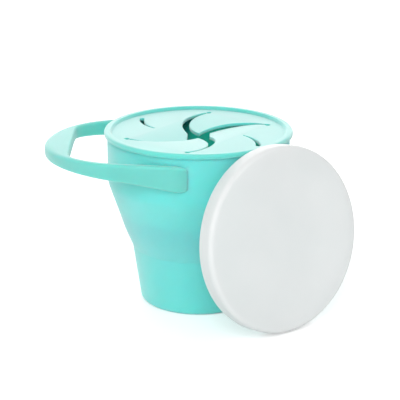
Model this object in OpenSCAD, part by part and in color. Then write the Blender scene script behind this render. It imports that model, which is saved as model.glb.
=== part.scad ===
// Collapsible silicone snack cup with a loop handle, a pinwheel flap cover
// and a separate press-on cap that stands beside it.
// Millimetres, +Z up. The origin is the centre of the cup's base, on the floor.
// The handle points to -X and the cap stands in front of the cup, to the right.

/* [Cup] */
// Outside diameter of the straight band under the cover
band_d = 87.2; // [80:0.2:100]
// Outside diameter where the upper shell meets the folding wall
waist_d = 77.5; // [72:0.5:79]
// Outside diameter where the folding wall meets the lower cup
shoulder_d = 64; // [58:0.5:68]
// Outside diameter of the base at floor level, before its edge is rounded
base_d = 55.8; // [48:0.2:58]
// Height of the cup's rim above the floor
rim_h = 82.7; // [78:0.1:95]
// Height at which the upper cone turns into the band
band_h = 60; // [56:0.5:62]
// Height of the hinge line between upper shell and folding wall
waist_h = 46; // [42:0.5:50]
// Height of the hinge line between folding wall and lower cup
shoulder_h = 28; // [24:0.5:32]
// Wall of the band
band_wall = 2.2; // [1.6:0.1:3]
// Wall of the upper cone at the waist
cone_wall = 2; // [1.6:0.1:3]
// Wall of the thin folding part
fold_t = 1.3; // [0.8:0.1:1.5]
// Wall of the lower cup
base_wall = 2.2; // [1.6:0.1:3]
// Thickness of the cup's floor
floor_t = 2.4; // [1.6:0.1:4]
// Radius of the rounded edge at the foot
foot_edge_r = 2.6; // [1:0.1:4]
// Radius of the soft bend between upper cone and band
bend_r = 12; // [4:1:16]
// Outward bulge of the folding wall at its middle
fold_bulge = 0.45; // [0:0.05:0.8]

/* [Cover] */
// Thickness of the cover's plate and flaps
cover_t = 1.6; // [1.2:0.1:2]
// How far the cover's edge stands out past the band
lip_out = 1.4; // [0.8:0.1:2]
// Height of the cover's edge above the cup's rim, on which it rests
edge_h = 2.3; // [2:0.1:3]
// How far the underside of the cover's plate lies below the rim
plate_sink = 0.9; // [0.4:0.1:1.2]
// Bevel along the lower edge of the cover
lip_bevel = 0.35; // [0.1:0.05:0.6]
// Width of the raised bead round the cover
bead_w = 3.7; // [3:0.1:5]
// Rounding of the bead's outer edge
bead_edge_r = 1.2; // [0.8:0.1:1.6]
// Rounding of the bead's inner edge
bead_inner_r = 0.6; // [0.3:0.1:0.8]
// Width of the bead's sloping inner wall
bead_slope = 0.7; // [0.4:0.1:1.4]
// Depth of the plug ring that goes down inside the rim
plug_depth = 7; // [5:0.5:10]
// Wall of the plug ring
plug_wall = 1.5; // [1:0.1:2]
// Gap between the plug ring's seal rib and the band
plug_gap = 0.2; // [0.1:0.05:0.4]
// How far the seal rib stands out from the plug ring
rib_out = 0.35; // [0.2:0.05:0.6]
// Height of the seal rib, and of the ring's tip below it
rib_h = 1.2; // [0.8:0.1:2]

/* [Slits and flaps] */
// Radius of the arc that every slit follows out of the centre
slit_arc_r = 23; // [21:0.5:24]
// Turn of the long slits along their arc, in degrees
slit_turn = 102.5; // [90:0.5:104]
// Direction in which the wide slits leave the centre
wide_slit_dir = 133; // [128:0.5:138]
// Direction in which the narrow slits leave the centre
narrow_slit_dir = 71.5; // [68:0.5:75]
// Direction in which the arc of the relief slits leaves the centre
relief_dir = 192; // [188:0.5:194]
// Width of the wide slits at the centre
wide_slit_w = 5.8; // [4:0.1:7]
// Width of the narrow slits at the centre
narrow_slit_w = 2.8; // [2:0.1:4]
// Width of the long slits where they run out
slit_end_w = 1.1; // [0.8:0.1:1.6]
// Radius of the round end of a long slit
slit_end_r = 1.25; // [0.7:0.05:1.5]
// How quickly a long slit narrows along its arc
slit_power = 1.3; // [1:0.1:2]
// Turn along the slits at which the blunt tip of a large flap lies
blunt_turn = 26; // [0:1:36]
// Width of a relief slit at its thin start
relief_start_w = 0.6; // [0.3:0.1:0.8]
// Radius of the round head of a relief slit
relief_head_r = 1.25; // [0.8:0.05:1.5]
// Turn along the arc at which a relief slit starts
relief_from = 63; // [60:1:70]
// Turn along the arc at which a relief slit ends
relief_to = 105; // [100:1:110]
// Clearance all round the root of a flap
hinge_gap = 0.3; // [0.2:0.05:0.5]
// Sag of the two small flaps below the plate, in degrees
small_sag = 4.1; // [0:0.1:8]
// Sag of the two large flaps below the plate, in degrees
large_sag = 8.4; // [0:0.1:12]

/* [Handle] */
// Distance from the cup's axis to the centre of the loop
loop_x = 32.3; // [28:0.1:36]
// Radius of the loop along the middle of the strap
loop_r = 39.6; // [36:0.1:42]
// Thickness of the strap
strap_t = 3.2; // [2.4:0.1:4]
// How far the strap stands out from the band where it runs into it
strap_proud = 2.5; // [1.8:0.1:3]
// How far the strap's top face lies below the cup's rim
strap_drop = 3.7; // [2:0.1:8]
// Depth of the strap at the cup
strap_deep = 12.9; // [9:0.1:15]
// Depth of the grip at the far end of the loop
grip_deep = 5.9; // [3.5:0.1:8]
// How quickly the strap narrows away from the cup
taper_power = 1.72; // [1:0.02:2]
// Where along the loop's reach the strap has its full depth
taper_place = 0.9; // [0.7:0.05:1]
// Distance from the loop's centre to the straight inner edge of the grip
grip_chord = 28.6; // [23:0.2:32]
// Softness of the corners where grip and strap meet
grip_blend = 2.4; // [1:0.1:4]
// Rounding of the strap's edges
strap_edge_r = 1.25; // [0.6:0.05:1.5]
// Width of the sloping outer edge of the grip
grip_slope_w = 4.2; // [2:0.1:6]
// Fall of the sloping outer edge of the grip
grip_slope_h = 2.3; // [1:0.1:3]
// How fast the grip's slope dies away round the loop
grip_spread = 1.6; // [1:0.1:3]
// Turn round the cup over which the strap's end fades into the band
fade_turn = 3; // [2:0.5:10]
// How far the strap's end dives past its own stand-out
fade_over = 1.15; // [1.05:0.05:1.4]
// Rounding of the strap's end above and below
end_round = 3; // [1:0.5:4]

/* [Cap] */
// How far the cover's edge stretches the cap on the radius
cap_stretch = 1.4; // [0.5:0.1:2]
// Depth of the cap's skirt, face included
cap_deep = 8.4; // [6:0.1:12]
// Thickness of the cap's face
cap_face_t = 1.8; // [1.2:0.1:2.5]
// Wall of the cap's skirt
cap_wall = 1.8; // [1.2:0.1:2.5]
// Rounding of the cap's face edge
cap_edge_r = 2.2; // [1:0.1:3]
// How far the gripping lip stands into the mouth of the cap
cap_lip = 0.7; // [0.3:0.1:1]
// Height of the gripping lip
cap_lip_h = 1.6; // [1:0.1:3]
// Rounding inside the cap between skirt and face
cap_inner_r = 1.2; // [0.6:0.1:2]
// How far the top of the leaning cap stands above the cover
cap_over = 1.3; // [0.5:0.1:3]
// Direction in which the cap's face looks, in degrees from +X
cap_faces = -52.5; // [-60:0.5:-45]
// Sideways shift of the cap along its own face
cap_shift = 4.5; // [-10:0.5:10]
// Gap between the cap and the edge it leans towards
cap_gap = 0.3; // [0.3:0.1:8]

/* [Hidden] */
$fn = 96;
teal = "#86e0d6";
deep_teal = "#5fcfc6";
pale_teal = "#c9f0ea";
frost = "#e9eeee";

band_r = band_d / 2;
waist_r = waist_d / 2;
shoulder_r = shoulder_d / 2;
base_r = base_d / 2;
bore_r = band_r - band_wall;
arc_steps = 8;
few_steps = 4;

// ---- shared geometry -------------------------------------------------------

// Unit vector in the plane at an angle
function dir(a) = [cos(a), sin(a)];

// Points of an arc about c, from angle a0 to a1
function arc(c, r, a0, a1, n = arc_steps) =
    [for (i = [0:n]) c + r * dir(a0 + (a1 - a0) * i / n)];

function reversed(list) = [for (i = [len(list) - 1:-1:0]) list[i]];

// Points of a shallow bow from a to b that stands out by rise at its middle
function bow(a, b, rise, n = arc_steps) =
    let (side = [b.y - a.y, a.x - b.x] / norm(b - a))
    [for (i = [0:n]) let (t = i / n) a + (b - a) * t + side * 4 * rise * t * (1 - t)];

// Points that round the corner at p between the directions to a and b
function corner(a, p, b, r, n = arc_steps) =
    let (u = (a - p) / norm(a - p), v = (b - p) / norm(b - p),
         half = acos(u * v) / 2,
         c = p + (u + v) / norm(u + v) * r / sin(half),
         s = p + u * r / tan(half) - c, e = p + v * r / tan(half) - c,
         a0 = atan2(s.y, s.x), turn = atan2(e.y, e.x) - a0,
         sweep = turn > 180 ? turn - 360 : turn < -180 ? turn + 360 : turn)
    arc(c, r, a0, a0 + sweep, n);

module revolve(points) {
    rotate_extrude() polygon(points);
}

// ---- cup -------------------------------------------------------------------

// Inside and outside points of the two hinge lines
shoulder_out = [shoulder_r, shoulder_h];
waist_out = [waist_r, waist_h];

module lower_cup() {
    foot = [base_r, 0];
    inner_foot = [base_r - base_wall, floor_t];
    inner_top = [shoulder_r - base_wall, shoulder_h];
    color(teal)
        revolve(concat(
            [[0, 0]],
            corner([0, 0], foot, shoulder_out, foot_edge_r),
            [shoulder_out, inner_top],
            corner(inner_top, inner_foot, [0, floor_t], foot_edge_r),
            [[0, floor_t]]));
}

module fold_wall() {
    outside = bow(shoulder_out, waist_out, fold_bulge);
    inside = [for (p = outside) p - [fold_t, 0]];
    color(deep_teal)
        revolve(concat(outside, reversed(inside)));
}

module upper_shell() {
    bend = [band_r, band_h];
    rim = [band_r, rim_h];
    inner_bend = [bore_r, band_h];
    inner_waist = [waist_r - cone_wall, waist_h];
    color(teal)
        revolve(concat(
            [inner_waist, waist_out],
            corner(waist_out, bend, rim, bend_r),
            [rim, [bore_r, rim_h]],
            corner([bore_r, rim_h], inner_bend, inner_waist, bend_r)));
}

// ---- handle ----------------------------------------------------------------

// The strap's middle line: it wraps a little way round the cup, leaves it along
// the common tangent of cup and loop, and runs round the loop.
wrap_r = band_r + strap_proud - strap_t / 2;
strap_top = rim_h - strap_drop;
thin = 0.05;
inner_stop = 80;
lean_out = asin((wrap_r - loop_r) / loop_x);
strap_run = sqrt(pow(loop_x, 2) - pow(wrap_r - loop_r, 2));
fade_steps = 6;
run_steps = 7;
loop_steps = 17;
half_steps = fade_steps + run_steps + loop_steps;
reach = loop_x + loop_r + strap_t / 2;

// Direction of the strap's outward normal at station i of the near half
function strap_dir(i) =
    i <= fade_steps ? -90 - lean_out + fade_turn * (1 - i / fade_steps)
    : i <= fade_steps + run_steps ? -90 - lean_out
    : -90 - lean_out - (90 - lean_out) * (i - fade_steps - run_steps) / loop_steps;

// Place of station i on the strap's middle line, near half
function strap_at(i) =
    i <= fade_steps ? wrap_r * dir(strap_dir(i))
    : i <= fade_steps + run_steps
        ? wrap_r * dir(strap_dir(i))
          + strap_run * (i - fade_steps) / run_steps * dir(strap_dir(i) - 90)
    : [-loop_x, 0] + loop_r * dir(strap_dir(i));

// Larger of two values, eased where they are close
function soft_max(a, b, ease) = (a + b + sqrt(pow(a - b, 2) + ease * ease)) / 2;

// Corner of a section: quarter ellipse about c, with half axes h, from angle a
function ellipse_corner(c, h, a) =
    [for (k = [0:3]) c + [h.x * cos(a + 30 * k), h.y * sin(a + 30 * k)]];

// Section of the strap at station i, as [outward offset, height] points
function strap_section(i) =
    let (turned = max(0, i - fade_steps - run_steps) / loop_steps * (90 - lean_out),
         off_end = 90 - lean_out - turned,
         grip = pow(max(0, cos(min(90, off_end * grip_spread))), 2),
         fade = i < fade_steps ? 1 - i / fade_steps : 0,
         out = strap_t / 2 - strap_proud * fade_over * fade * fade,
         in = off_end > inner_stop ? strap_t / 2
              : soft_max(strap_t / 2, loop_r - grip_chord / cos(off_end), grip_blend),
         along = (reach + strap_at(i).x) / reach,
         deep = grip_deep + (strap_deep - grip_deep) * pow(max(0, along) / taper_place, taper_power),
         shrink = end_round * (1 - sqrt(1 - fade * fade)),
         top = strap_top - shrink, low = strap_top - deep + shrink,
         e = min(strap_edge_r, (out + in) / 2 - thin),
         slope = [e + (grip_slope_w - e) * grip, e + (grip_slope_h - e) * grip])
    concat(
        ellipse_corner([out - slope.x, top - slope.y], slope, 0),
        ellipse_corner([-in + e, top - e], [e, e], 90),
        ellipse_corner([-in + e, low + e], [e, e], 180),
        ellipse_corner([out - e, low + e], [e, e], 270));

// Ring of points at station i; the far half is the near half mirrored in y
function strap_ring(i) =
    let (near = i <= half_steps, k = near ? i : 2 * half_steps - i,
         side = near ? 1 : -1, n = dir(strap_dir(k)), at = strap_at(k))
    [for (s = strap_section(k)) [at.x + n.x * s[0], side * (at.y + n.y * s[0]), s[1]]];

module swept(rings) {
    m = len(rings[0]);
    last = len(rings) - 1;
    polyhedron(
        points = [for (ring = rings) each ring],
        faces = concat(
            [[for (j = [0:m - 1]) j]],
            [for (i = [0:last - 1], j = [0:m - 1])
                [i * m + j, (i + 1) * m + j, (i + 1) * m + (j + 1) % m, i * m + (j + 1) % m]],
            [[for (j = [m - 1:-1:0]) last * m + j]]),
        convexity = 6);
}

module handle() {
    color(teal)
        difference() {
            swept([for (i = [0:2 * half_steps]) strap_ring(i)]);
            cylinder(r = band_r, h = rim_h);
        }
}

// ---- cover -----------------------------------------------------------------

plate_low = rim_h - plate_sink;
plate_top = plate_low + cover_t;
plate_mid = plate_low + cover_t / 2;
edge_r = band_r + lip_out;
bead_top = rim_h + edge_h;
plug_r = bore_r - plug_gap - rib_out;

// Centre of the arc that a slit leaving the centre in direction a follows
function slit_centre(a) = slit_arc_r * dir(a - 90);

// Point of that arc after a turn, and pushed off it by side
function slit_point(a, turn, side = 0) =
    slit_centre(a) + (slit_arc_r + side) * dir(a + 90 - turn);

// Half width of a long slit after a turn
function slit_half(w, turn) =
    (slit_end_w + (w - slit_end_w) * pow(1 - turn / slit_turn, slit_power)) / 2;

slit_steps = 20;
cut_h = 2 * cover_t;

module long_slit_2d(a, w) {
    turns = [for (i = [0:slit_steps]) slit_turn * i / slit_steps];
    polygon(concat(
        [for (t = turns) slit_point(a, t, slit_half(w, t))],
        [for (t = reversed(turns)) slit_point(a, t, -slit_half(w, t))]));
    translate(slit_point(a, slit_turn)) circle(r = slit_end_r, $fn = 32);
}

module relief_slit_2d(a) {
    turns = [for (i = [0:slit_steps]) relief_from + (relief_to - relief_from) * i / slit_steps];
    function half(t) = relief_start_w / 2 + (relief_head_r - relief_start_w / 2)
        * (t - relief_from) / (relief_to - relief_from);
    polygon(concat(
        [for (t = turns) slit_point(a, t, half(t))],
        [for (t = reversed(turns)) slit_point(a, t, -half(t))]));
    translate(slit_point(a, relief_to)) circle(r = relief_head_r, $fn = 32);
}

// The four long slits as upright cutters
module slits(h) {
    for (half_turn = [0, 180]) {
        linear_extrude(h) long_slit_2d(wide_slit_dir + half_turn, wide_slit_w);
        linear_extrude(h) long_slit_2d(narrow_slit_dir + half_turn, narrow_slit_w);
    }
}

// Points of a slit's middle line from one turn to another
function middle_line(a, from, to, n = slit_steps) =
    [for (i = [0:n]) slit_point(a, from + (to - from) * i / n)];

// Small flap: from the narrow slit to the wide one. Its hinge lies on the line
// between their ends, and starts where the narrow slit's wall crosses that line.
narrow_end = slit_point(narrow_slit_dir, slit_turn);
wide_end = slit_point(wide_slit_dir, slit_turn);
small_chord = wide_end - narrow_end;
small_hinge_dir = atan2(small_chord.y, small_chord.x) - 90;
small_hinge_x = narrow_end * dir(small_hinge_dir);
narrow_wall_r = slit_arc_r + slit_half(narrow_slit_w, slit_turn);
small_from = slit_centre(narrow_slit_dir) + narrow_wall_r * dir(small_hinge_dir
    + acos((small_hinge_x - slit_centre(narrow_slit_dir) * dir(small_hinge_dir)) / narrow_wall_r));
small_hinge = [small_hinge_dir, small_hinge_x, small_from * dir(small_hinge_dir + 90),
               wide_end * dir(small_hinge_dir + 90)];

// Large flap: its hinge starts at the end of the next narrow slit and passes
// outside the wide slit, where it ends. Its tip is cut off blunt.
large_from = -narrow_end;
wide_share = 0.7;
wide_clear = slit_arc_r + slit_half(wide_slit_w, slit_turn * wide_share) + cover_t / 2 + hinge_gap;
to_wide = large_from - slit_centre(wide_slit_dir);
large_hinge_dir = atan2(to_wide.y, to_wide.x) - acos(wide_clear / norm(to_wide));
large_turn = (wide_slit_dir + 90 - large_hinge_dir + 360) % 360;
large_hinge = [large_hinge_dir, large_from * dir(large_hinge_dir),
               slit_centre(wide_slit_dir) * dir(large_hinge_dir + 90),
               large_from * dir(large_hinge_dir + 90)];

// A hinge is [direction it faces, distance from the centre, low end, high end].
// Point on it, at a place along it and pushed outwards by beyond:
function on_hinge(hinge, along, beyond = 0) =
    (hinge[1] + beyond) * dir(hinge[0]) + along * dir(hinge[0] + 90);

module small_flap_2d() {
    polygon(concat(middle_line(narrow_slit_dir, 0, slit_turn),
                   middle_line(wide_slit_dir, slit_turn, 0)));
}

module large_flap_2d() {
    stop_turn = large_turn - asin(hinge_gap / wide_clear);
    polygon(concat(middle_line(wide_slit_dir, blunt_turn, stop_turn),
                   [on_hinge(large_hinge, large_hinge[2] + hinge_gap)],
                   middle_line(narrow_slit_dir + 180, slit_turn, blunt_turn)));
}

// One flap: its plate, with a round root on the hinge axis, sagging by sag
module flap(hinge, sag) {
    low = hinge[2] + hinge_gap;
    high = hinge[3] - hinge_gap;
    rotate([0, 0, hinge[0]]) translate([hinge[1], 0, plate_mid]) rotate([0, -sag, 0])
        difference() {
            union() {
                translate([-hinge[1], 0, -cover_t / 2]) rotate([0, 0, -hinge[0]])
                    linear_extrude(cover_t) children();
                translate([0, high, 0]) rotate([90, 0, 0])
                    cylinder(d = cover_t, h = high - low, $fn = 32);
            }
            translate([-hinge[1], 0, -cover_t]) rotate([0, 0, -hinge[0]])
                slits(cut_h);
        }
}

// What the cover's plate gives up for the flaps, less the ends of the slits
module mouth_2d() {
    edge = cover_t / 2 + hinge_gap;
    half = concat(
        [for (k = [2, 3]) on_hinge(small_hinge, small_hinge[k], edge)],
        middle_line(wide_slit_dir, slit_turn, large_turn, 4),
        [for (k = [2, 3]) on_hinge(large_hinge, large_hinge[k], edge)]);
    polygon(concat(half, -half));
}

module cover_ring() {
    bead_mid = edge_r - bead_edge_r;
    bead_in = edge_r - bead_w;
    plug_in = plug_r - plug_wall;
    plug_low = rim_h - plug_depth;
    rib_low = plug_low + rib_h;
    color(pale_teal)
        difference() {
            revolve(concat(
                [[0, plate_low], [plug_in, plate_low], [plug_in, plug_low],
                 [plug_r, plug_low], [plug_r, rib_low],
                 [plug_r + rib_out, rib_low + rib_out], [plug_r + rib_out, rib_low + rib_h],
                 [plug_r, rib_low + rib_h + rib_out],
                 [plug_r, rim_h], [edge_r - lip_bevel, rim_h], [edge_r, rim_h + lip_bevel]],
                arc([bead_mid, bead_top - bead_edge_r], bead_edge_r, 0, 90),
                corner([bead_mid, bead_top], [bead_in + bead_slope, bead_top],
                       [bead_in, plate_top], bead_inner_r, few_steps),
                [[bead_in, plate_top], [0, plate_top]]));
            translate([0, 0, plate_mid - cover_t]) {
                linear_extrude(cut_h) mouth_2d();
                slits(cut_h);
                for (half_turn = [0, 180])
                    linear_extrude(cut_h) relief_slit_2d(relief_dir + half_turn);
            }
        }
}

module small_flap_back() {
    color(pale_teal)
        flap(small_hinge, small_sag) small_flap_2d();
}

module large_flap_left() {
    color(pale_teal)
        flap(large_hinge, large_sag) large_flap_2d();
}

module small_flap_front() {
    rotate(180) small_flap_back();
}

module large_flap_right() {
    rotate(180) large_flap_left();
}

// ---- cap -------------------------------------------------------------------

cap_r = edge_r - cap_stretch;
cap_rim_r = cap_wall / 3;

// The cap stands on the lower edge of its skirt and leans towards the cup, so
// far that its top stands cap_over above the cover, and no further than upright
cap_lean = acos(min(1, (bead_top + cap_over - 2 * cap_rim_r) / (2 * (cap_r - cap_rim_r))));
cap_top = 2 * (cap_r - cap_rim_r) * cos(cap_lean) + 2 * cap_rim_r;
cap_z = (cap_r - cap_rim_r) * cos(cap_lean) + (cap_deep - cap_rim_r) * sin(cap_lean) + cap_rim_r;
cap_x = (cap_top > rim_h ? edge_r : band_r) + cap_gap
        + cap_r * sin(cap_lean) + cap_deep * cos(cap_lean);

module cap() {
    inner_r = cap_r - cap_wall;
    lip_r = inner_r - cap_lip;
    mouth = -cap_deep;
    ledge = mouth + cap_lip_h;
    color(frost)
        rotate([0, 0, cap_faces]) translate([cap_x, cap_shift, cap_z])
            rotate([0, 90 - cap_lean, 0])
                revolve(concat(
                    [[0, -cap_face_t], [0, 0]],
                    corner([0, 0], [cap_r, 0], [cap_r, mouth], cap_edge_r),
                    corner([cap_r, 0], [cap_r, mouth], [0, mouth], cap_rim_r, few_steps),
                    corner([cap_r, mouth], [lip_r, mouth], [lip_r, 0], cap_rim_r, few_steps),
                    [[lip_r, ledge], [inner_r, ledge + cap_lip]],
                    corner([inner_r, mouth], [inner_r, -cap_face_t], [0, -cap_face_t],
                           cap_inner_r, few_steps)));
}

// ---- parts -----------------------------------------------------------------

lower_cup();
fold_wall();
upper_shell();
handle();
cover_ring();
small_flap_back();
large_flap_left();
small_flap_front();
large_flap_right();
cap();
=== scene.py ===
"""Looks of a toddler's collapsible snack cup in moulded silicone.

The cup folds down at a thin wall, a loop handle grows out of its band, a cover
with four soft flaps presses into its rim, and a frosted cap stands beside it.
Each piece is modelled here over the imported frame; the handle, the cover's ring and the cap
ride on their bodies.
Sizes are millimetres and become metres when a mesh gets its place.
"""

from __future__ import annotations

import logging
import math
from dataclasses import dataclass
from enum import Enum
from typing import Callable, Sequence

import bmesh
import bpy
from mathutils import Matrix, Vector


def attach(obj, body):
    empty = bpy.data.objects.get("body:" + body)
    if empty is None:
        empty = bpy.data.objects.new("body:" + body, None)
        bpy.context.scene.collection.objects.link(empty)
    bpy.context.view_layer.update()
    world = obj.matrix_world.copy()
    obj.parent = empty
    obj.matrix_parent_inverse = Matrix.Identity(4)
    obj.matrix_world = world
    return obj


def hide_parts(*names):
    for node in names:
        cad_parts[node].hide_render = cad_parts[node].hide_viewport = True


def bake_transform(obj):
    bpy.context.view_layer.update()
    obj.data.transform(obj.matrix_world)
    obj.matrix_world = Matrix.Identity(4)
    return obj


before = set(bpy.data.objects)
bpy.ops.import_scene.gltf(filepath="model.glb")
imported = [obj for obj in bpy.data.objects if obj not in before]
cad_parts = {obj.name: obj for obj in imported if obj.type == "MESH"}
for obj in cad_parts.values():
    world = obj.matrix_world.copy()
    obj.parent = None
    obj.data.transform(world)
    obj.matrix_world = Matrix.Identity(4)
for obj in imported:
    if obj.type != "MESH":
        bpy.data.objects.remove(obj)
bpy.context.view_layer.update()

MM = 0.001
# Driving sizes that several pieces share: the band's radius and the rim's height.
BAND_R = 43.6
RIM_H = 82.7
AXIS = Vector((0.0, 0.0, 0.0))
WHITE = (1.0, 1.0, 1.0, 1.0)
# Doubles closer than this many metres are merged.
MERGE = 1e-7
# Lengths in the arc of a rounded corner.
ARC_STEPS = 6
# A length over a whole number of steps by less than this share of one isn't split again.
SPARE = 1e-6
# A noise's values lie mostly between these two.
NOISE_LOW, NOISE_HIGH = 0.3, 0.7
LOG = logging.getLogger("snack_cup")


# ---- plane geometry ---------------------------------------------------------


def heading(degrees: float) -> Vector:
    """Unit vector in the plane at an angle."""
    return Vector((math.cos(math.radians(degrees)), math.sin(math.radians(degrees))))


def inside(point: Vector, outline: Sequence[Vector]) -> bool:
    """Tells whether a point lies in a closed outline.

    Args:
        point: The point, in the plane.
        outline: The outline's corners in order.

    Returns:
        True when the point is inside.
    """
    hit = False
    for a, b in zip(outline, [outline[-1], *outline[:-1]]):
        if (a.y > point.y) != (b.y > point.y):
            if point.x < (b.x - a.x) * (point.y - a.y) / (b.y - a.y) + a.x:
                hit = not hit
    return hit


@dataclass(frozen=True)
class Bend:
    """A corner of a turned profile: distance from the axis, height and rounding."""

    out: float
    up: float
    round: float = 0.0


def profile(bends: Sequence[Bend]) -> list[Vector]:
    """Draws a turned profile, with an arc at every rounded corner.

    Args:
        bends: The corners in order. The first and the last stay sharp.

    Returns:
        The profile's points, as (distance from the axis, height).
    """
    points: list[Vector] = []
    for i, bend in enumerate(bends):
        here = Vector((bend.out, bend.up))
        if bend.round <= 0 or i in (0, len(bends) - 1):
            points.append(here)
            continue
        before, after = bends[i - 1], bends[i + 1]
        u = (Vector((before.out, before.up)) - here).normalized()
        v = (Vector((after.out, after.up)) - here).normalized()
        half = u.angle(v) / 2
        centre = here + (u + v).normalized() * bend.round / math.sin(half)
        start = here + u * bend.round / math.tan(half) - centre
        stop = here + v * bend.round / math.tan(half) - centre
        turn = start.angle_signed(stop)
        for k in range(ARC_STEPS + 1):
            points.append(centre + Matrix.Rotation(-turn * k / ARC_STEPS, 2) @ start)
    return points


def stepped(points: Sequence[Vector], longest: float) -> list[Vector]:
    """Splits the long lengths of a profile.

    Args:
        points: The profile.
        longest: The longest length that is left whole.

    Returns:
        The profile with the points between added.
    """
    split: list[Vector] = [points[0]]
    for a, b in zip(points, points[1:]):
        parts = max(1, math.ceil((b - a).length / longest - SPARE))
        split += [a.lerp(b, k / parts) for k in range(1, parts + 1)]
    return split


# ---- modelling by hand, in code ----------------------------------------------


def rest_hands() -> None:
    """Leaves edit mode and deselects everything."""
    if bpy.context.mode != "OBJECT":
        bpy.ops.object.mode_set(mode="OBJECT")
    bpy.ops.object.select_all(action="DESELECT")


def take(piece: bpy.types.Object) -> None:
    """Makes one piece the only selected and active one.

    Args:
        piece: The piece.
    """
    rest_hands()
    piece.select_set(True)
    bpy.context.view_layer.objects.active = piece


def pick_vertices(piece: bpy.types.Object, wanted: Callable[[bmesh.types.BMVert], bool]) -> None:
    """Selects vertices of the piece in edit mode by a test.

    Args:
        piece: The piece, in edit mode.
        wanted: Tells whether a vertex is selected.
    """
    mesh = bmesh.from_edit_mesh(piece.data)
    mesh.verts.ensure_lookup_table()
    for vert in mesh.verts:
        vert.select = wanted(vert)
    mesh.select_flush_mode()
    bmesh.update_edit_mesh(piece.data)


def pick_faces(piece: bpy.types.Object, wanted: Callable[[Vector], bool]) -> None:
    """Selects faces of the piece in edit mode.

    Args:
        piece: The piece, in edit mode.
        wanted: Tells from a face's middle, in millimetres, whether it is selected.
    """
    bpy.ops.mesh.select_mode(type="FACE")
    mesh = bmesh.from_edit_mesh(piece.data)
    for face in mesh.faces:
        face.select = wanted(face.calc_center_median() / MM)
    mesh.select_flush_mode()
    bmesh.update_edit_mesh(piece.data)


def reshape(piece: bpy.types.Object, move: Callable[[Vector], Vector]) -> None:
    """Moves every vertex of a piece.

    Args:
        piece: The piece.
        move: Gives a vertex's new place from its old one, both in millimetres.
    """
    for vert in piece.data.vertices:
        vert.co = move(vert.co / MM) * MM


def turned(name: str, points: Sequence[Vector], around: int) -> bpy.types.Object:
    """Turns a profile about the upright axis, ring by ring.

    Args:
        name: Name of the piece.
        points: The profile, as (distance from the axis, height). Both ends lie on the axis.
        around: Vertices in a ring.

    Returns:
        The closed piece.
    """
    rings = list(points[1:-1])
    rest_hands()
    bpy.ops.mesh.primitive_circle_add(vertices=around, radius=rings[0].x * MM)
    piece = bpy.context.object
    piece.name = piece.data.name = name
    bpy.ops.object.mode_set(mode="EDIT")
    bpy.ops.mesh.select_mode(type="VERT")
    bpy.ops.mesh.select_all(action="SELECT")
    bpy.ops.transform.translate(value=(0.0, 0.0, rings[0].y * MM))
    for a, b in zip(rings, rings[1:]):
        rise = {"value": (0.0, 0.0, (b.y - a.y) * MM)}
        bpy.ops.mesh.extrude_edges_move(TRANSFORM_OT_translate=rise)
        grow = b.x / a.x
        bpy.ops.transform.resize(value=(grow, grow, 1.0), center_override=AXIS)
    last = (len(rings) - 1) * around
    for ring, pole in ((range(last, last + around), points[-1]), (range(around), points[0])):
        pick_vertices(piece, lambda vert: vert.index in ring)
        rise = {"value": (0.0, 0.0, pole.y * MM - piece_height(piece))}
        bpy.ops.mesh.extrude_edges_move(TRANSFORM_OT_translate=rise)
        bpy.ops.mesh.merge(type="CENTER")
    close(piece)
    return piece


def piece_height(piece: bpy.types.Object) -> float:
    """Height of the first selected vertex.

    Args:
        piece: The piece, in edit mode.

    Returns:
        The height in metres.
    """
    mesh = bmesh.from_edit_mesh(piece.data)
    return next(vert.co.z for vert in mesh.verts if vert.select)


def close(piece: bpy.types.Object) -> None:
    """Merges doubles, turns the faces outwards and leaves edit mode.

    Args:
        piece: The piece, in edit mode.
    """
    bpy.ops.mesh.select_all(action="SELECT")
    bpy.ops.mesh.remove_doubles(threshold=MERGE)
    bpy.ops.mesh.normals_make_consistent(inside=False)
    bpy.ops.object.mode_set(mode="OBJECT")


def shaped_bar(
    name: str, around: int, along: int, place: Callable[[int, int], Vector]
) -> bpy.types.Object:
    """Pulls a straight bar out of a disc, then sets its vertices on a shape.

    Args:
        name: Name of the piece.
        around: Vertices in a ring.
        along: Number of rings.
        place: Gives the place of vertex j of ring i, in millimetres.

    Returns:
        The closed piece.
    """
    rest_hands()
    bpy.ops.mesh.primitive_circle_add(vertices=around, radius=1.0, fill_type="NGON")
    piece = bpy.context.object
    piece.name = piece.data.name = name
    bpy.ops.object.mode_set(mode="EDIT")
    bpy.ops.mesh.select_all(action="SELECT")
    for _ in range(along - 1):
        step = {"value": (0.0, 0.0, 1.0)}
        bpy.ops.mesh.extrude_region_move(TRANSFORM_OT_translate=step)
    bpy.ops.object.mode_set(mode="OBJECT")
    first = piece.data.vertices[0].co
    zero = math.atan2(first.y, first.x)
    for vert in piece.data.vertices:
        turn = (math.atan2(vert.co.y, vert.co.x) - zero) / math.tau
        vert.co = place(round(vert.co.z), round(turn * around) % around) * MM
    bpy.ops.object.mode_set(mode="EDIT")
    bpy.ops.mesh.select_all(action="SELECT")
    bpy.ops.mesh.normals_make_consistent(inside=False)
    bpy.ops.object.mode_set(mode="OBJECT")
    return piece


def smooth(piece: bpy.types.Object, angle: float = 40.0) -> None:
    """Shades a piece smooth up to an angle in degrees."""
    take(piece)
    bpy.ops.object.shade_smooth_by_angle(angle=math.radians(angle))


def carve(piece: bpy.types.Object, cutters: Sequence[bpy.types.Object]) -> None:
    """Cuts pieces out of another and throws the cutters away.

    Args:
        piece: The piece that is cut.
        cutters: The solids that are taken out of it.
    """
    for cutter in cutters:
        take(piece)
        cut = piece.modifiers.new("cut", "BOOLEAN")
        cut.operation = "DIFFERENCE"
        cut.solver = "EXACT"
        cut.object = cutter
        bpy.ops.object.modifier_apply(modifier=cut.name)
        bpy.data.objects.remove(cutter)


# ---- finishes ---------------------------------------------------------------


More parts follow.
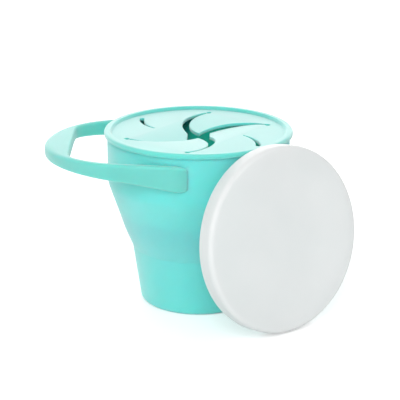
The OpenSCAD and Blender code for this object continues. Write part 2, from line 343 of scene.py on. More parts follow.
def linear(hex_colour: str) -> tuple[float, float, float, float]:
    """Turns an sRGB hex value into a linear colour.

    Args:
        hex_colour: The value, such as #a0b0c0.

    Returns:
        Red, green, blue and an alpha of 1.
    """
    channels = [int(hex_colour[i : i + 2], 16) / 255 for i in (1, 3, 5)]
    flat = [c / 12.92 if c <= 0.04045 else ((c + 0.055) / 1.055) ** 2.4 for c in channels]
    return (flat[0], flat[1], flat[2], 1.0)


def per_mm(size: float) -> float:
    """Noise scale, in object metres, whose features are that many millimetres."""
    return 1.0 / (size * MM)


def add_node(
    tree: bpy.types.NodeTree,
    kind: str,
    links: dict[str | int, object] | None = None,
    **settings: object,
) -> bpy.types.Node:
    """Adds a node with its settings and what goes into it.

    Args:
        tree: The node tree.
        kind: The node's type.
        links: For each input's name or number, a socket to link or a value to set.
        settings: The node's own properties.

    Returns:
        The new node.
    """
    node = tree.nodes.new(kind)
    for name, value in settings.items():
        setattr(node, name, value)
    for name, value in (links or {}).items():
        if isinstance(value, bpy.types.NodeSocket):
            tree.links.new(value, node.inputs[name])
        else:
            node.inputs[name].default_value = value
    return node


@dataclass(frozen=True)
class MouldedSilicone:
    """Liquid silicone rubber from a matt spark-eroded mould.

    Soft and satin: a broad highlight, light that soaks a little way into the
    wall, and a fine even grain. A drift of tone comes from the pigment's flow.
    """

    name: str
    colour: str
    drift: str
    soak: float
    soak_mm: tuple[float, float, float]
    roughness: float = 0.46
    gloss_spread: float = 0.05
    ior: float = 1.41
    sheen: float = 0.42
    sheen_spread: float = 0.65
    grain_mm: float = 0.7
    grain_height_mm: float = 0.02
    grain_strength: float = 0.5
    grain_detail: float = 3.0
    grain_rough: float = 0.6
    drift_mm: float = 26.0
    drift_detail: float = 2.0
    drift_rough: float = 0.5

    def material(self) -> bpy.types.Material:
        """Builds the material.

        Returns:
            The material, with its grain, gloss and drift of tone.
        """
        made = bpy.data.materials.new(self.name)
        made.use_nodes = True
        tree = made.node_tree
        tree.nodes.clear()
        place = add_node(tree, "ShaderNodeTexCoord").outputs["Object"]
        # The pigment's flow shows as tone that drifts over a few centimetres.
        flow = add_node(
            tree, "ShaderNodeTexNoise",
            {
                "Vector": place, "Scale": per_mm(self.drift_mm),
                "Detail": self.drift_detail, "Roughness": self.drift_rough,
            },
        )
        spread = add_node(
            tree, "ShaderNodeMapRange",
            {"Value": flow.outputs["Fac"], "From Min": NOISE_LOW, "From Max": NOISE_HIGH},
        )
        tone = add_node(
            tree, "ShaderNodeMix",
            {0: spread.outputs["Result"], 6: linear(self.colour), 7: linear(self.drift)},
            data_type="RGBA",
        ).outputs[2]
        # A spark-eroded mould leaves a grain of about 0.1 mm; it is drawn coarser to show.
        grain = add_node(
            tree, "ShaderNodeTexNoise",
            {
                "Vector": place, "Scale": per_mm(self.grain_mm),
                "Detail": self.grain_detail, "Roughness": self.grain_rough,
            },
        )
        gloss = add_node(
            tree, "ShaderNodeMapRange",
            {
                "Value": grain.outputs["Fac"], "From Min": NOISE_LOW, "From Max": NOISE_HIGH,
                "To Min": self.roughness - self.gloss_spread,
                "To Max": self.roughness + self.gloss_spread,
            },
        )
        relief = add_node(
            tree, "ShaderNodeBump",
            {
                "Height": grain.outputs["Fac"], "Strength": self.grain_strength,
                "Distance": self.grain_height_mm * MM,
            },
        )
        surface = add_node(
            tree, "ShaderNodeBsdfPrincipled",
            {
                "Base Color": tone, "Roughness": gloss.outputs["Result"], "IOR": self.ior,
                "Subsurface Weight": self.soak, "Subsurface Radius": self.soak_mm,
                "Subsurface Scale": MM, "Sheen Weight": self.sheen,
                "Sheen Roughness": self.sheen_spread,
                "Normal": relief.outputs["Normal"],
            },
        )
        add_node(tree, "ShaderNodeOutputMaterial", {"Surface": surface.outputs["BSDF"]})
        return made


CUP_SILICONE = MouldedSilicone(
    "mint silicone, moulded", "#6ae5dd", "#64dfd7", soak=1.0, soak_mm=(0.6, 5.0, 4.2)
)
# The cover is moulded from the cup's own silicone. This copy is written deeper in colour and
# given a much stronger sheen, so that under the back lamp its top renders pale: painted sheen,
# not a paler silicone.
COVER_SILICONE_SHEEN_LIT = MouldedSilicone(
    "mint silicone, cover copy with painted sheen", "#52d3ca", "#4acdc4", soak=1.0, soak_mm=(0.5, 3.0, 2.5),
    sheen=0.85,
)
# The handle is moulded from the cup's own silicone. This copy is written duller and darker than
# the cup's so that the strap renders darker: painted shade, not a different silicone.
GRIP_SILICONE_PAINTED_SHADE = MouldedSilicone(
    "mint silicone, darkened copy for painted shade", "#6cd2c9", "#66cdc4", soak=1.0, soak_mm=(0.5, 2.5, 2.0)
)
CAP_SILICONE = MouldedSilicone(
    "frosted clear silicone, moulded", "#dfe1e1", "#dbdede", soak=0.6, soak_mm=(4.0, 4.0, 4.0),
    roughness=0.42, sheen=0.3,
)


def dress(piece: bpy.types.Object, material: bpy.types.Material) -> None:
    """Gives a piece its one material.

    Args:
        piece: The piece.
        material: Its material.
    """
    piece.data.materials.clear()
    piece.data.materials.append(material)
    LOG.info("%s: %d faces", piece.name, len(piece.data.polygons))


# ---- the cup ----------------------------------------------------------------


@dataclass
class Cup:
    """The cup's one moulding: lower cup, folding wall and upper shell."""

    band_r: float = BAND_R
    waist_r: float = 38.75
    shoulder_r: float = 32.0
    base_r: float = 27.9
    rim_h: float = RIM_H
    band_h: float = 60.0
    waist_h: float = 46.0
    shoulder_h: float = 28.0
    band_wall: float = 2.2
    cone_wall: float = 2.0
    fold_t: float = 1.3
    base_wall: float = 2.2
    floor_t: float = 2.4
    foot_round: float = 2.6
    band_bend: float = 12.0
    fold_bend: float = 1.6
    rim_round: float = 0.7
    bulge: float = 0.45
    bulge_bend: float = 60.0
    longest: float = 1.8
    around: int = 224

    def wall(self) -> list[Vector]:
        """Profile of the cup, outside first, from the base's middle to the floor's.

        Returns:
            The profile's points, as (distance from the axis, height).
        """
        lean = Vector((self.waist_r - self.shoulder_r, self.waist_h - self.shoulder_h))
        side = Vector((lean.y, -lean.x)).normalized() * self.bulge
        middle = Vector((self.shoulder_r, self.shoulder_h)) + lean / 2 + side
        step = self.fold_t / 2
        inner = self.band_r - self.band_wall
        corners = [
            Bend(0.0, 0.0),
            Bend(self.base_r, 0.0, self.foot_round),
            Bend(self.shoulder_r, self.shoulder_h, self.fold_bend),
            Bend(middle.x, middle.y, self.bulge_bend),
            Bend(self.waist_r, self.waist_h, self.fold_bend),
            Bend(self.band_r, self.band_h, self.band_bend),
            Bend(self.band_r, self.rim_h, self.rim_round),
            Bend(inner, self.rim_h, self.rim_round),
            Bend(inner, self.band_h, self.band_bend - self.band_wall),
            Bend(self.waist_r - self.cone_wall, self.waist_h + step, step),
            Bend(self.waist_r - self.fold_t, self.waist_h - step, step),
            Bend(middle.x - self.fold_t, middle.y, self.bulge_bend),
            Bend(self.shoulder_r - self.fold_t, self.shoulder_h + step, step),
            Bend(self.shoulder_r - self.base_wall, self.shoulder_h - step, step),
            Bend(self.base_r - self.base_wall, self.floor_t, self.foot_round),
            Bend(0.0, self.floor_t),
        ]
        return stepped(profile(corners), self.longest)

    def build(self, material: bpy.types.Material) -> bpy.types.Object:
        """Models the cup in one piece.

        Args:
            material: The cup's material.

        Returns:
            The cup.
        """
        piece = turned("cup", self.wall(), self.around)
        smooth(piece)
        dress(piece, material)
        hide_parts("lower_cup", "fold_wall", "upper_shell")
        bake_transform(piece)
        return piece


@dataclass
class LoopHandle:
    """The strap that wraps the band, leaves it on both sides and loops round."""

    band_r: float = BAND_R
    loop_x: float = 32.3
    loop_r: float = 39.6
    strap_t: float = 3.2
    proud: float = 2.5
    top: float = 79.0
    deep: float = 12.9
    grip_deep: float = 5.9
    taper: float = 1.72
    taper_place: float = 0.9
    grip_chord: float = 28.6
    grip_spread: float = 1.6
    grip_ease: float = 2.4
    grip_reach: float = 80.0
    edge_round: float = 1.25
    edge_spare: float = 0.05
    slope_w: float = 4.2
    slope_h: float = 2.3
    fade_turn: float = 3.0
    fade_over: float = 1.15
    fade_run: float = 7.5
    end_round: float = 3.2
    fade: int = 24
    run: int = 30
    loop: int = 70
    corner: int = 8
    crease: float = 60.0

    @property
    def wrap_r(self) -> float:
        """Radius of the strap's middle line where it wraps the band."""
        return self.band_r + self.proud - self.strap_t / 2

    @property
    def lean(self) -> float:
        """Angle in degrees between the strap's straight run and the X axis."""
        return math.degrees(math.asin((self.wrap_r - self.loop_r) / self.loop_x))

    @property
    def half(self) -> int:
        """Number of the station at the far point of the loop."""
        return self.fade + self.run + self.loop

    def facing(self, i: int) -> float:
        """Direction of the strap's outward side.

        Args:
            i: Station of the near half.

        Returns:
            The direction in degrees.
        """
        if i <= self.fade:
            return -90 - self.lean + self.fade_turn * (1 - i / self.fade)
        turned_by = (90 - self.lean) * max(0, i - self.fade - self.run) / self.loop
        return -90 - self.lean - turned_by

    @property
    def straight(self) -> float:
        """Length of the strap's straight run."""
        return math.sqrt(self.loop_x**2 - (self.wrap_r - self.loop_r) ** 2)

    def line(self, i: int) -> Vector:
        """Place of the strap's middle line.

        Args:
            i: Station of the near half.

        Returns:
            The place, in the plane.
        """
        out = heading(self.facing(i))
        if i <= self.fade:
            return self.wrap_r * out
        if i <= self.fade + self.run:
            ahead = heading(self.facing(i) - 90)
            return self.wrap_r * out + ahead * self.straight * (i - self.fade) / self.run
        return Vector((-self.loop_x, 0.0)) + self.loop_r * out

    def fading(self, i: int) -> float:
        """How far the strap has sunk into the band.

        Args:
            i: Station of the near half.

        Returns:
            1 at the strap's end, and 0 past the fade.
        """
        wrapped = self.wrap_r * math.radians(self.fade_turn) * min(1.0, i / self.fade)
        free = self.straight * max(0, i - self.fade) / self.run
        return max(0.0, 1 - (wrapped + free) / self.fade_run)

    def section(self, i: int) -> list[tuple[float, float]]:
        """Section of the strap at station i.

        Args:
            i: Station of the near half.

        Returns:
            The section's points, as (outward from the middle line, height).
        """
        turned_by = max(0, i - self.fade - self.run) / self.loop * (90 - self.lean)
        off_end = 90 - self.lean - turned_by
        grip = max(0.0, math.cos(math.radians(min(90.0, off_end * self.grip_spread)))) ** 2
        fading = self.fading(i)
        half_t = self.strap_t / 2
        inward = half_t
        if off_end <= self.grip_reach:
            pad = self.loop_r - self.grip_chord / math.cos(math.radians(off_end))
            gap = half_t - pad
            inward = (half_t + pad + math.sqrt(gap * gap + self.grip_ease**2)) / 2
        reach = self.loop_x + self.loop_r + half_t
        along = max(0.0, (reach + self.line(i).x) / reach) / self.taper_place
        deep = self.grip_deep + (self.deep - self.grip_deep) * along**self.taper
        outward = half_t - self.proud * self.fade_over * fading * fading
        rounding = min(self.edge_round, (outward + inward) / 2 - self.edge_spare)
        shrink = self.end_round * (1 - math.sqrt(1 - fading * fading))
        top, low = self.top - shrink, self.top - deep + shrink
        slope_w = rounding + (self.slope_w - rounding) * grip
        slope_h = rounding + (self.slope_h - rounding) * grip
        corners = (
            (outward - slope_w, top - slope_h, slope_w, slope_h, 0),
            (rounding - inward, top - rounding, rounding, rounding, 90),
            (rounding - inward, low + rounding, rounding, rounding, 180),
            (outward - rounding, low + rounding, rounding, rounding, 270),
        )
        points = []
        for x, z, w, h, start in corners:
            for k in range(self.corner):
                turn = math.radians(start + 90 * k / (self.corner - 1))
                points.append((x + w * math.cos(turn), z + h * math.sin(turn)))
        return points

    def build(self, material: bpy.types.Material) -> bpy.types.Object:
        """Models the handle from a bar bent round the loop.

        Args:
            material: The handle's material.

        Returns:
            The handle.
        """
        sections = [self.section(i) for i in range(self.half + 1)]

        def place(i: int, j: int) -> Vector:
            """Place of a vertex of the bar, the far half mirrored from the near one.

            Args:
                i: The ring, as a station of the whole loop.
                j: The vertex in its ring.

            Returns:
                The place, in millimetres.
            """
            near = i <= self.half
            station = i if near else 2 * self.half - i
            out, height = sections[station][j]
            at = self.line(station) + heading(self.facing(station)) * out
            return Vector((at.x, at.y if near else -at.y, height))

        piece = shaped_bar("handle", 4 * self.corner, 2 * self.half + 1, place)
        smooth(piece, self.crease)
        dress(piece, material)
        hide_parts("handle")
        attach(piece, "cup_top")
        return piece


# ---- the cover --------------------------------------------------------------


@dataclass(frozen=True)
class Slit:
    """A slit along an arc that leaves the middle in some direction."""

    direction: float
    start: float
    stop: float
    start_w: float
    stop_w: float
    head_r: float
    through: bool


class Flap(Enum):
    """The cover's four flaps, by the node each stands for."""

    BACK = ("small_flap_back", "flap_back", "small", 1)
    LEFT = ("large_flap_left", "flap_left", "large", 1)
    FRONT = ("small_flap_front", "flap_front", "small", -1)
    RIGHT = ("large_flap_right", "flap_right", "large", -1)

    @property
    def node(self) -> str:
        """The frame's node."""
        return self.value[0]

    @property
    def body(self) -> str:
        """The frame's body."""
        return self.value[1]

    @property
    def large(self) -> bool:
        """Whether it is one of the two large flaps."""
        return self.value[2] == "large"

    @property
    def half_turn(self) -> int:
        """1, or -1 for the flap that is turned half way round."""
        return self.value[3]


@dataclass(frozen=True)
class Root:
    """The line on which a flap bends: direction it faces, distance and drop."""

    facing: float
    distance: float
    sag: float

    def beyond(self, point: Vector) -> float:
        """How far a point lies outside the line."""
        return Vector(point[:2]).dot(heading(self.facing)) - self.distance


@dataclass
class FlapCover:
    """The press-in cover: bead, lip, plug ring and a plate cut into flaps."""

    band_r: float = BAND_R
    rim_h: float = RIM_H
    plate_t: float = 1.6
    plate_sink: float = 0.9
    lip_out: float = 1.4
    edge_h: float = 2.3
    lip_bevel: float = 0.35
    bead_w: float = 3.7
    bead_slope: float = 0.7
    bead_edge_r: float = 1.2
    bead_inner_r: float = 0.6
    plug_deep: float = 7.0
    plug_wall: float = 1.5
    plug_r: float = 40.85
    rib_out: float = 0.35
    rib_h: float = 1.2
    arc_r: float = 23.0
    turn: float = 102.5
    wide_from: float = 133.0
    narrow_from: float = 71.5
    relief_from: float = 192.0
    relief_start: float = 58.0
    relief_stop: float = 105.0
    relief_w: float = 0.6
    relief_r: float = 1.25
    wide_w: float = 5.8
    narrow_w: float = 2.8
    end_w: float = 1.1
    end_r: float = 1.25
    head_spare: float = 1.02
    narrowing: float = 1.3
    wide_share: float = 0.7
    blunt_turn: float = 26.0
    soft_edge: float = 0.3
    root_clear: float = 1.1
    hinge_gap: float = 0.12
    root_past: float = 3.0
    small_sag: float = 4.1
    large_sag: float = 8.4
    sag_power: float = 1.35
    bend_run: float = 3.0
    bend_past: float = 1.4
    cutter_past: float = 1.0
    ring_margin: float = 1.0
    plate_reach: float = 0.5
    plug_root_round: float = 0.6
    plug_round: float = 0.4
    rib_round: float = 0.2
    seat_round: float = 0.3
    bead_root_round: float = 0.5
    longest: float = 1.15
    head_steps: int = 12
    through_steps: int = 64
    relief_steps: int = 24
    tip_steps: int = 8
    soft_steps: int = 3
    side_steps: int = 24
    bend_cuts: int = 10
    around: int = 208

    @property
    def plate_low(self) -> float:
        """Height of the plate's lower face."""
        return self.rim_h - self.plate_sink

    @property
    def plate_top(self) -> float:
        """Height of the plate's upper face."""
        return self.plate_low + self.plate_t

    # -- slits

    def slit_point(self, direction: float, turn: float, side: float = 0.0) -> Vector:
        """Point of a slit's arc.

        Args:
            direction: Direction in which the arc leaves the middle.
            turn: How far along the arc, in degrees; below zero it is the arc's
                twin on the other side of the middle.
            side: How far to the left of the arc.

        Returns:
            The point, in the plane.
        """
        if turn < 0:
            return -self.slit_point(direction, -turn, -side)
        centre = heading(direction - 90) * self.arc_r
        return centre + heading(direction + 90 - turn) * (self.arc_r + side)

    def half_width(self, slit: Slit, turn: float) -> float:
        """Half of a slit's width at a place along it.

        Args:
            slit: The slit.
            turn: The place, in degrees along the arc.

        Returns:
            Half of the width there.
        """
        along = (abs(turn) - slit.start) / (slit.stop - slit.start)
        along = min(1.0, max(0.0, along))
        curve = self.narrowing if slit.through else 1.0
        return (slit.stop_w + (slit.start_w - slit.stop_w) * (1 - along) ** curve) / 2

    def outline(self, slit: Slit, grow: float) -> list[Vector]:
        """Outline of a slit, with round heads, grown all round.

        Args:
            slit: The slit.
            grow: How far the outline is pushed out.

        Returns:
            The outline's points, the same number for every growth.
        """

        def head(stop: float, radius: float, sign: int) -> list[tuple[float, float]]:
            """Stations round one head, from the wall to the tip.

            Args:
                stop: Where along the arc the head's middle lies, in degrees.
                radius: The head's radius.
                sign: 1 where the head lies ahead of its middle and -1 behind.

            Returns:
                The stations, as (degrees along the arc, distance from it).
            """
            wall = self.half_width(slit, stop) + grow
            radius = max(radius + grow, wall * self.head_spare)
            first = math.asin(wall / radius)
            rows = []
            for k in range(self.head_steps + 1):
                angle = first + (math.pi - first) * k / self.head_steps
                shift = math.degrees(-radius * math.cos(angle) / self.arc_r)
                rows.append((stop + sign * shift, radius * math.sin(angle)))
            return rows

        body_rows = []
        far = head(slit.stop, slit.head_r, 1)
        if slit.through:
            near = [(-t, h) for t, h in reversed(far)]
        else:
            near = list(reversed(head(slit.start, slit.start_w / 2, -1)))
        low, high = near[-1][0], far[0][0]
        count = self.through_steps if slit.through else self.relief_steps
        for k in range(1, count):
            at = low + (high - low) * k / count
            body_rows.append((at, self.half_width(slit, at) + grow))
        rows = near + body_rows + far
        left = [self.slit_point(slit.direction, t, h) for t, h in rows]
        right = [self.slit_point(slit.direction, t, -h) for t, h in rows[1:-1]]
        return left + right[::-1]

    def tip(self, grow: float, side: int) -> list[Vector]:
        """Outline of what a large flap's blunt tip leaves out, grown all round.

        Args:
            grow: How far the outline is pushed out.
            side: 1 for the left flap and -1 for the right one.

        Returns:
            The outline's points, the same number for every growth.
        """
        wide = self.slit_point(self.wide_from, self.blunt_turn)
        narrow = -self.slit_point(self.narrow_from, self.blunt_turn)
        out = Vector((narrow.y - wide.y, wide.x - narrow.x)).normalized() * grow
        turns = [self.blunt_turn * k / self.tip_steps for k in range(self.tip_steps)]
        back = [-self.slit_point(self.narrow_from, t) for t in turns[::-1]]
        forth = [self.slit_point(self.wide_from, t) for t in turns]
        return [p * side for p in [*forth, wide + out, narrow + out, *back[:-1]]]

    def cutter(self, outline: Callable[[float], list[Vector]], name: str) -> bpy.types.Object:
        """Makes the solid that cuts an outline out of the plate and rounds the edges.

        Args:
            outline: Gives the outline's points for a growth, always as many.
            name: Name of the solid.

        Returns:
            The solid.
        """
        soft, low, top = self.soft_edge, self.plate_low, self.plate_top
        levels = [(low - self.cutter_past, soft)]
        for k in range(self.soft_steps + 1):
            rise = soft * math.sin(math.radians(90 * k / self.soft_steps))
            levels.append((low + rise, soft * (1 - math.sqrt(1 - (1 - rise / soft) ** 2))))
        for height, grow in reversed(levels[1:]):
            levels.append((low + top - height, grow))
        levels.append((top + self.cutter_past, soft))
        outlines = [outline(grow) for _, grow in levels]

        def place(i: int, j: int) -> Vector:
            """Place of point j of the outline at level i."""
            return Vector((*outlines[i][j], levels[i][0]))

        return shaped_bar(name, len(outlines[0]), len(levels), place)

    def cutters(self) -> list[bpy.types.Object]:
        """Makes the solids that cut the slits and the blunt tips.

        Returns:
            The solids.
        """
        wide = Slit(self.wide_from, 0.0, self.turn, self.wide_w, self.end_w, self.end_r, True)
        narrow = Slit(
            self.narrow_from, 0.0, self.turn, self.narrow_w, self.end_w, self.end_r, True
        )
        relief = Slit(
            self.relief_from, self.relief_start, self.relief_stop,
            self.relief_w, 2 * self.relief_r, self.relief_r, False,
        )
        return [
            self.cutter(lambda grow: self.outline(wide, grow), "wide slits"),
            self.cutter(lambda grow: self.outline(narrow, grow), "narrow slits"),
            self.cutter(lambda grow: self.tip(grow, 1), "left tip"),
            self.cutter(lambda grow: self.tip(grow, -1), "right tip"),
            self.cutter(lambda grow: self.outline(relief, grow), "left relief slit"),
            self.cutter(
                lambda grow: [-p for p in self.outline(relief, grow)], "right relief slit"
            ),
        ]

    # -- flaps

    def root(self, flap: Flap) -> Root:
        """The line on which a flap bends.

        Args:
            flap: Which flap.

        Returns:
            The line and how far the flap sags from it.
        """
        narrow_end = self.slit_point(self.narrow_from, self.turn)
        wide_end = self.slit_point(self.wide_from, self.turn)
        if flap.large:
            left = (1 - self.wide_share) ** self.narrowing
            wall = (self.end_w + (self.wide_w - self.end_w) * left) / 2
            to_wide = -narrow_end - heading(self.wide_from - 90) * self.arc_r
            away = self.arc_r + wall + self.root_clear
            facing = math.degrees(
                math.atan2(to_wide.y, to_wide.x) - math.acos(away / to_wide.length)
            )
            distance = (-narrow_end).dot(heading(facing)) - self.root_clear - self.hinge_gap
            sag = self.large_sag
        else:
            chord = wide_end - narrow_end
            facing = math.degrees(math.atan2(chord.y, chord.x)) - 90
            distance = narrow_end.dot(heading(facing))
            sag = self.small_sag
        return Root(facing + (0 if flap.half_turn > 0 else 180), distance, sag)

    def region(self, flap: Flap) -> list[Vector]:
        """Outline that holds a flap: the middle lines of its slits and past its root.

        Args:
            flap: Which flap.

        Returns:
            The outline's points.
        """
        root = self.root(flap)
        out, steps = heading(root.facing) * self.root_past, self.side_steps
        sides = [self.turn * k / steps for k in range(steps + 1)]
        if flap.large:
            wide_stop = (self.wide_from + 90 - root.facing) % 360
            if flap.half_turn < 0:
                wide_stop = (wide_stop + 180) % 360
            stops = [wide_stop * k / steps for k in range(steps + 1)]
            first = [self.slit_point(self.wide_from, t) for t in stops]
            second = [-self.slit_point(self.narrow_from, t) for t in sides]
        else:
            first = [self.slit_point(self.narrow_from, t) for t in sides]
            second = [self.slit_point(self.wide_from, t) for t in sides]
        first = [p * flap.half_turn for p in first]
        second = [p * flap.half_turn for p in second]
        return first + [first[-1] + out, second[-1] + out] + second[::-1]

    def split_flap(self, ring: bpy.types.Object, flap: Flap) -> bpy.types.Object:
        """Parts one flap from the ring along its root and lets it sag.

        Args:
            ring: The whole cover.
            flap: Which flap.

        Returns:
            The flap as a piece of its own.
        """
        root, area = self.root(flap), self.region(flap)
        out = heading(root.facing)
        normal = (out.x, out.y, 0.0)

        def cut_at(beyond: float) -> None:
            """Cuts the selected faces along a line beside the root."""
            point = out * (root.distance + beyond) * MM
            bpy.ops.mesh.bisect(plane_co=(point.x, point.y, 0.0), plane_no=normal)

        take(ring)
        bpy.ops.object.mode_set(mode="EDIT")
        plate_r = self.plug_r - self.plug_wall - self.ring_margin
        reach = self.plate_low - self.plate_reach
        pick_faces(ring, lambda c: c.z > reach and c.to_2d().length < plate_r)
        cut_at(0.0)
        pick_faces(
            ring, lambda c: c.z > reach and root.beyond(c) < 0 and inside(c.to_2d(), area)
        )
        bpy.ops.mesh.separate(type="SELECTED")
        bpy.ops.object.mode_set(mode="OBJECT")
        piece = next(o for o in bpy.context.selected_objects if o is not ring)
        piece.name = piece.data.name = flap.body
        take(piece)
        bpy.ops.object.mode_set(mode="EDIT")
        for k in range(1, self.bend_cuts + 1):
            bpy.ops.mesh.select_all(action="SELECT")
            cut_at(-self.bend_run * self.bend_past * k / self.bend_cuts)
        bpy.ops.object.mode_set(mode="OBJECT")
        farthest = max(-root.beyond(v.co / MM) for v in piece.data.vertices)
        drop = math.tan(math.radians(root.sag)) * farthest

        def sag(point: Vector) -> Vector:
            """Lowers a point, more the farther it lies from the root."""
            along = max(0.0, -root.beyond(point)) / farthest
            return point - Vector((0.0, 0.0, drop * along**self.sag_power))

        reshape(piece, sag)
        return piece

    def whole(self) -> bpy.types.Object:
        """Models the cover in one, before its flaps are parted.

        Returns:
            The whole cover.
        """
        low, top, rim = self.plate_low, self.plate_top, self.rim_h
        edge, bead = self.band_r + self.lip_out, rim + self.edge_h
        plug_in, bead_in = self.plug_r - self.plug_wall, edge - self.bead_w
        tip = rim - self.plug_deep
        rib = tip + self.rib_h
        corners = [
            Bend(0.0, low),
            Bend(plug_in, low, self.plug_root_round),
            Bend(plug_in, tip, self.plug_round),
            Bend(self.plug_r, tip, self.plug_round),
            Bend(self.plug_r, rib),
            Bend(self.plug_r + self.rib_out, rib + self.rib_out, self.rib_round),
            Bend(self.plug_r + self.rib_out, rib + self.rib_h, self.rib_round),
            Bend(self.plug_r, rib + self.rib_h + self.rib_out),
            Bend(self.plug_r, rim, self.seat_round),
            Bend(edge, rim, self.lip_bevel),
            Bend(edge, bead, self.bead_edge_r),
            Bend(bead_in + self.bead_slope, bead, self.bead_inner_r),
            Bend(bead_in, top, self.bead_root_round),
            Bend(0.0, top),
        ]
        rows = stepped(profile(corners), self.longest)
        return turned("cover", rows, self.around)

    def build(self, material: bpy.types.Material) -> list[bpy.types.Object]:
        """Models the cover's ring and its four flaps.

        Args:
            material: The cover's material.

        Returns:
            The ring, and then the flaps.
        """
        ring = self.whole()
        carve(ring, self.cutters())
        flaps = {flap: self.split_flap(ring, flap) for flap in Flap}
        smooth(ring)
        dress(ring, material)
        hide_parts("cover_ring")
        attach(ring, "cover")
        for flap, piece in flaps.items():
            smooth(piece)
            dress(piece, material)
            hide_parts(flap.node)
            root = self.root(flap)
            start = heading(root.facing) * root.distance * MM
            end = heading(root.facing) * (root.distance - self.bend_run) * MM
            flap.body
            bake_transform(piece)
        return [ring, *flaps.values()]


# ---- the cap ----------------------------------------------------------------


@dataclass
class PressCap:
    """The frosted cap that stretches over the cover, standing on its edge."""

    radius: float = 43.6
    deep: float = 8.4
    face_t: float = 1.8
    wall: float = 1.8
    edge_round: float = 2.2
    inner_round: float = 1.2
    lip: float = 0.7
    lip_h: float = 1.6
    lip_round: float = 0.4
    lean: float = 8.296
    faces: float = -52.5
    shift: float = 4.5
    clear_r: float = 45.3
    longest: float = 2.4
    around: int = 224

    @property
    def rim_round(self) -> float:
        """Rounding of the open edge."""
        return self.wall / 3

    def build(self, material: bpy.types.Material) -> bpy.types.Object:
        """Models the cap face up, then stands it in its place.

        Args:
            material: The cap's material.

        Returns:
            The cap.
        """
        inner, mouth = self.radius - self.wall, -self.deep
        lip_in = self.radius - self.wall - self.lip
        corners = [
            Bend(0.0, 0.0),
            Bend(self.radius, 0.0, self.edge_round),
            Bend(self.radius, mouth, self.rim_round),
            Bend(lip_in, mouth, self.rim_round),
            Bend(lip_in, mouth + self.lip_h, self.lip_round),
            Bend(inner, mouth + self.lip_h + self.lip, self.lip_round),
            Bend(inner, -self.face_t, self.inner_round),
            Bend(0.0, -self.face_t),
        ]
        piece = turned("cap", stepped(profile(corners), self.longest), self.around)
        lean, rim = math.radians(self.lean), self.rim_round
        height = (self.radius - rim) * math.cos(lean) + (self.deep - rim) * math.sin(lean) + rim
        away = self.clear_r + self.radius * math.sin(lean) + self.deep * math.cos(lean)
        piece.matrix_world = (
            Matrix.Rotation(math.radians(self.faces), 4, "Z")
            @ Matrix.Translation(Vector((away, self.shift, height)) * MM)
            @ Matrix.Rotation(math.pi / 2 - lean, 4, "Y")
        )
        take(piece)
        bpy.ops.object.transform_apply(location=True, rotation=True, scale=True)
        smooth(piece)
        dress(piece, material)
        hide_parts("cap")
        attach(piece, "cap")
        return piece


# ---- studio -----------------------------------------------------------------


@dataclass(frozen=True)
class SoftBox:
    """A square lamp behind a diffuser, in millimetres and watts."""

    name: str
    place: tuple[float, float, float]
    side: float
    watts: float
    aim: tuple[float, float, float] = (0.0, 0.0, 50.0)

    def hang(self) -> None:
        """Adds the lamp and points it."""
        data = bpy.data.lights.new(self.name, "AREA")
        data.shape, data.size, data.energy = "SQUARE", self.side * MM, self.watts
        lamp = bpy.data.objects.new(self.name, data)
        bpy.context.scene.collection.objects.link(lamp)
        lamp.location = Vector(self.place) * MM
        gaze = Vector(self.aim) - Vector(self.place)
        lamp.rotation_euler = gaze.to_track_quat("-Z", "Y").to_euler()
        lamp.visible_camera = False


LAMPS = (
    SoftBox("back soft box", (-50.0, 900.0, 480.0), 1200.0, 7.3),
    SoftBox("front soft box", (-180.0, -850.0, 620.0), 700.0, 6.2),
    SoftBox("right soft box", (750.0, -750.0, 450.0), 600.0, 1.2),
)


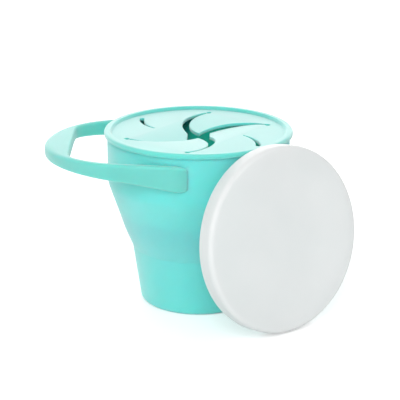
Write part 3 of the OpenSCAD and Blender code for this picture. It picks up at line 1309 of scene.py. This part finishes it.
@dataclass
class Studio:
    """White paper, soft boxes and the camera."""

    tilt: float = 17.971
    distance: float = 780.0
    lens: float = 142.15
    sensor: float = 36.0
    right_of: float = -0.706
    above: float = -46.67
    paper: str = "#f4f5f5"
    room: float = 0.46
    near_glow: float = 0.34
    far_glow: float = 0.75
    # The paper's side and the reach of its glow are in metres.
    paper_m: float = 12.0
    glow_from_m: float = 0.15
    glow_to_m: float = 1.0

    def camera(self) -> None:
        """Places the camera and makes it the scene's."""
        down = math.radians(self.tilt)
        ahead = Vector((0.0, math.cos(down), -math.sin(down)))
        up = Vector((0.0, math.sin(down), math.cos(down)))
        right = Vector((1.0, 0.0, 0.0))
        data = bpy.data.cameras.new("camera")
        data.lens, data.sensor_width = self.lens, self.sensor
        camera = bpy.data.objects.new("camera", data)
        bpy.context.scene.collection.objects.link(camera)
        place = -(ahead * self.distance + right * self.right_of + up * self.above) * MM
        turn = Matrix((right, up, -ahead)).transposed().to_4x4()
        camera.matrix_world = Matrix.Translation(place) @ turn
        bpy.context.scene.camera = camera

    def room_light(self) -> None:
        """White walls: white to the eye and in reflections, softer as light."""
        world = bpy.data.worlds.new("white room")
        bpy.context.scene.world = world
        world.use_nodes = True
        tree = world.node_tree
        tree.nodes.clear()
        path = add_node(tree, "ShaderNodeLightPath")
        seen = add_node(
            tree, "ShaderNodeMath",
            {0: path.outputs["Is Camera Ray"], 1: path.outputs["Is Transmission Ray"]},
            operation="MAXIMUM",
        )
        shiny = add_node(
            tree, "ShaderNodeMath",
            {0: seen.outputs[0], 1: path.outputs["Is Glossy Ray"]},
            operation="MAXIMUM",
        )
        level = add_node(
            tree, "ShaderNodeMapRange",
            {"Value": shiny.outputs[0], "To Min": self.room, "To Max": 1.0},
        )
        light = add_node(
            tree, "ShaderNodeBackground",
            {"Color": WHITE, "Strength": level.outputs["Result"]},
        )
        add_node(tree, "ShaderNodeOutputWorld", {"Surface": light.outputs["Background"]})

    def floor(self) -> None:
        """White paper that keeps the object's shadow."""
        rest_hands()
        bpy.ops.mesh.primitive_plane_add(size=self.paper_m)
        sheet = bpy.context.object
        sheet.name = "paper floor"
        made = bpy.data.materials.new("white studio paper")
        made.use_nodes = True
        tree = made.node_tree
        tree.nodes.clear()
        path = add_node(tree, "ShaderNodeLightPath")
        matt = add_node(tree, "ShaderNodeBsdfDiffuse", {"Color": linear(self.paper)})
        # The lamps leave the far paper grey, so it glows more with distance.
        place = add_node(tree, "ShaderNodeTexCoord").outputs["Object"]
        away = add_node(tree, "ShaderNodeVectorMath", {0: place}, operation="LENGTH")
        level = add_node(
            tree, "ShaderNodeMapRange",
            {
                "Value": away.outputs["Value"],
                "From Min": self.glow_from_m, "From Max": self.glow_to_m,
                "To Min": self.near_glow, "To Max": self.far_glow,
            },
        )
        glow = add_node(
            tree, "ShaderNodeEmission",
            {"Color": WHITE, "Strength": level.outputs["Result"]},
        )
        lit = add_node(tree, "ShaderNodeAddShader", {0: matt.outputs[0], 1: glow.outputs[0]})
        both = add_node(
            tree, "ShaderNodeMixShader",
            {0: path.outputs["Is Camera Ray"], 1: matt.outputs[0], 2: lit.outputs[0]},
        )
        add_node(tree, "ShaderNodeOutputMaterial", {"Surface": both.outputs[0]})
        sheet.data.materials.append(made)

    def build(self) -> None:
        """Sets the studio up round the object."""
        self.camera()
        self.room_light()
        self.floor()
        for box in LAMPS:
            box.hang()
        bpy.context.scene.view_settings.view_transform = "Standard"


def main() -> None:
    """Builds the studio and every piece, in order."""
    logging.basicConfig(level=logging.INFO, format="%(name)s: %(message)s")
    Studio().build()
    Cup().build(CUP_SILICONE.material())
    LoopHandle().build(GRIP_SILICONE_PAINTED_SHADE.material())
    FlapCover().build(COVER_SILICONE_SHEEN_LIT.material())
    PressCap().build(CAP_SILICONE.material())


if __name__ == "__main__":
    main()
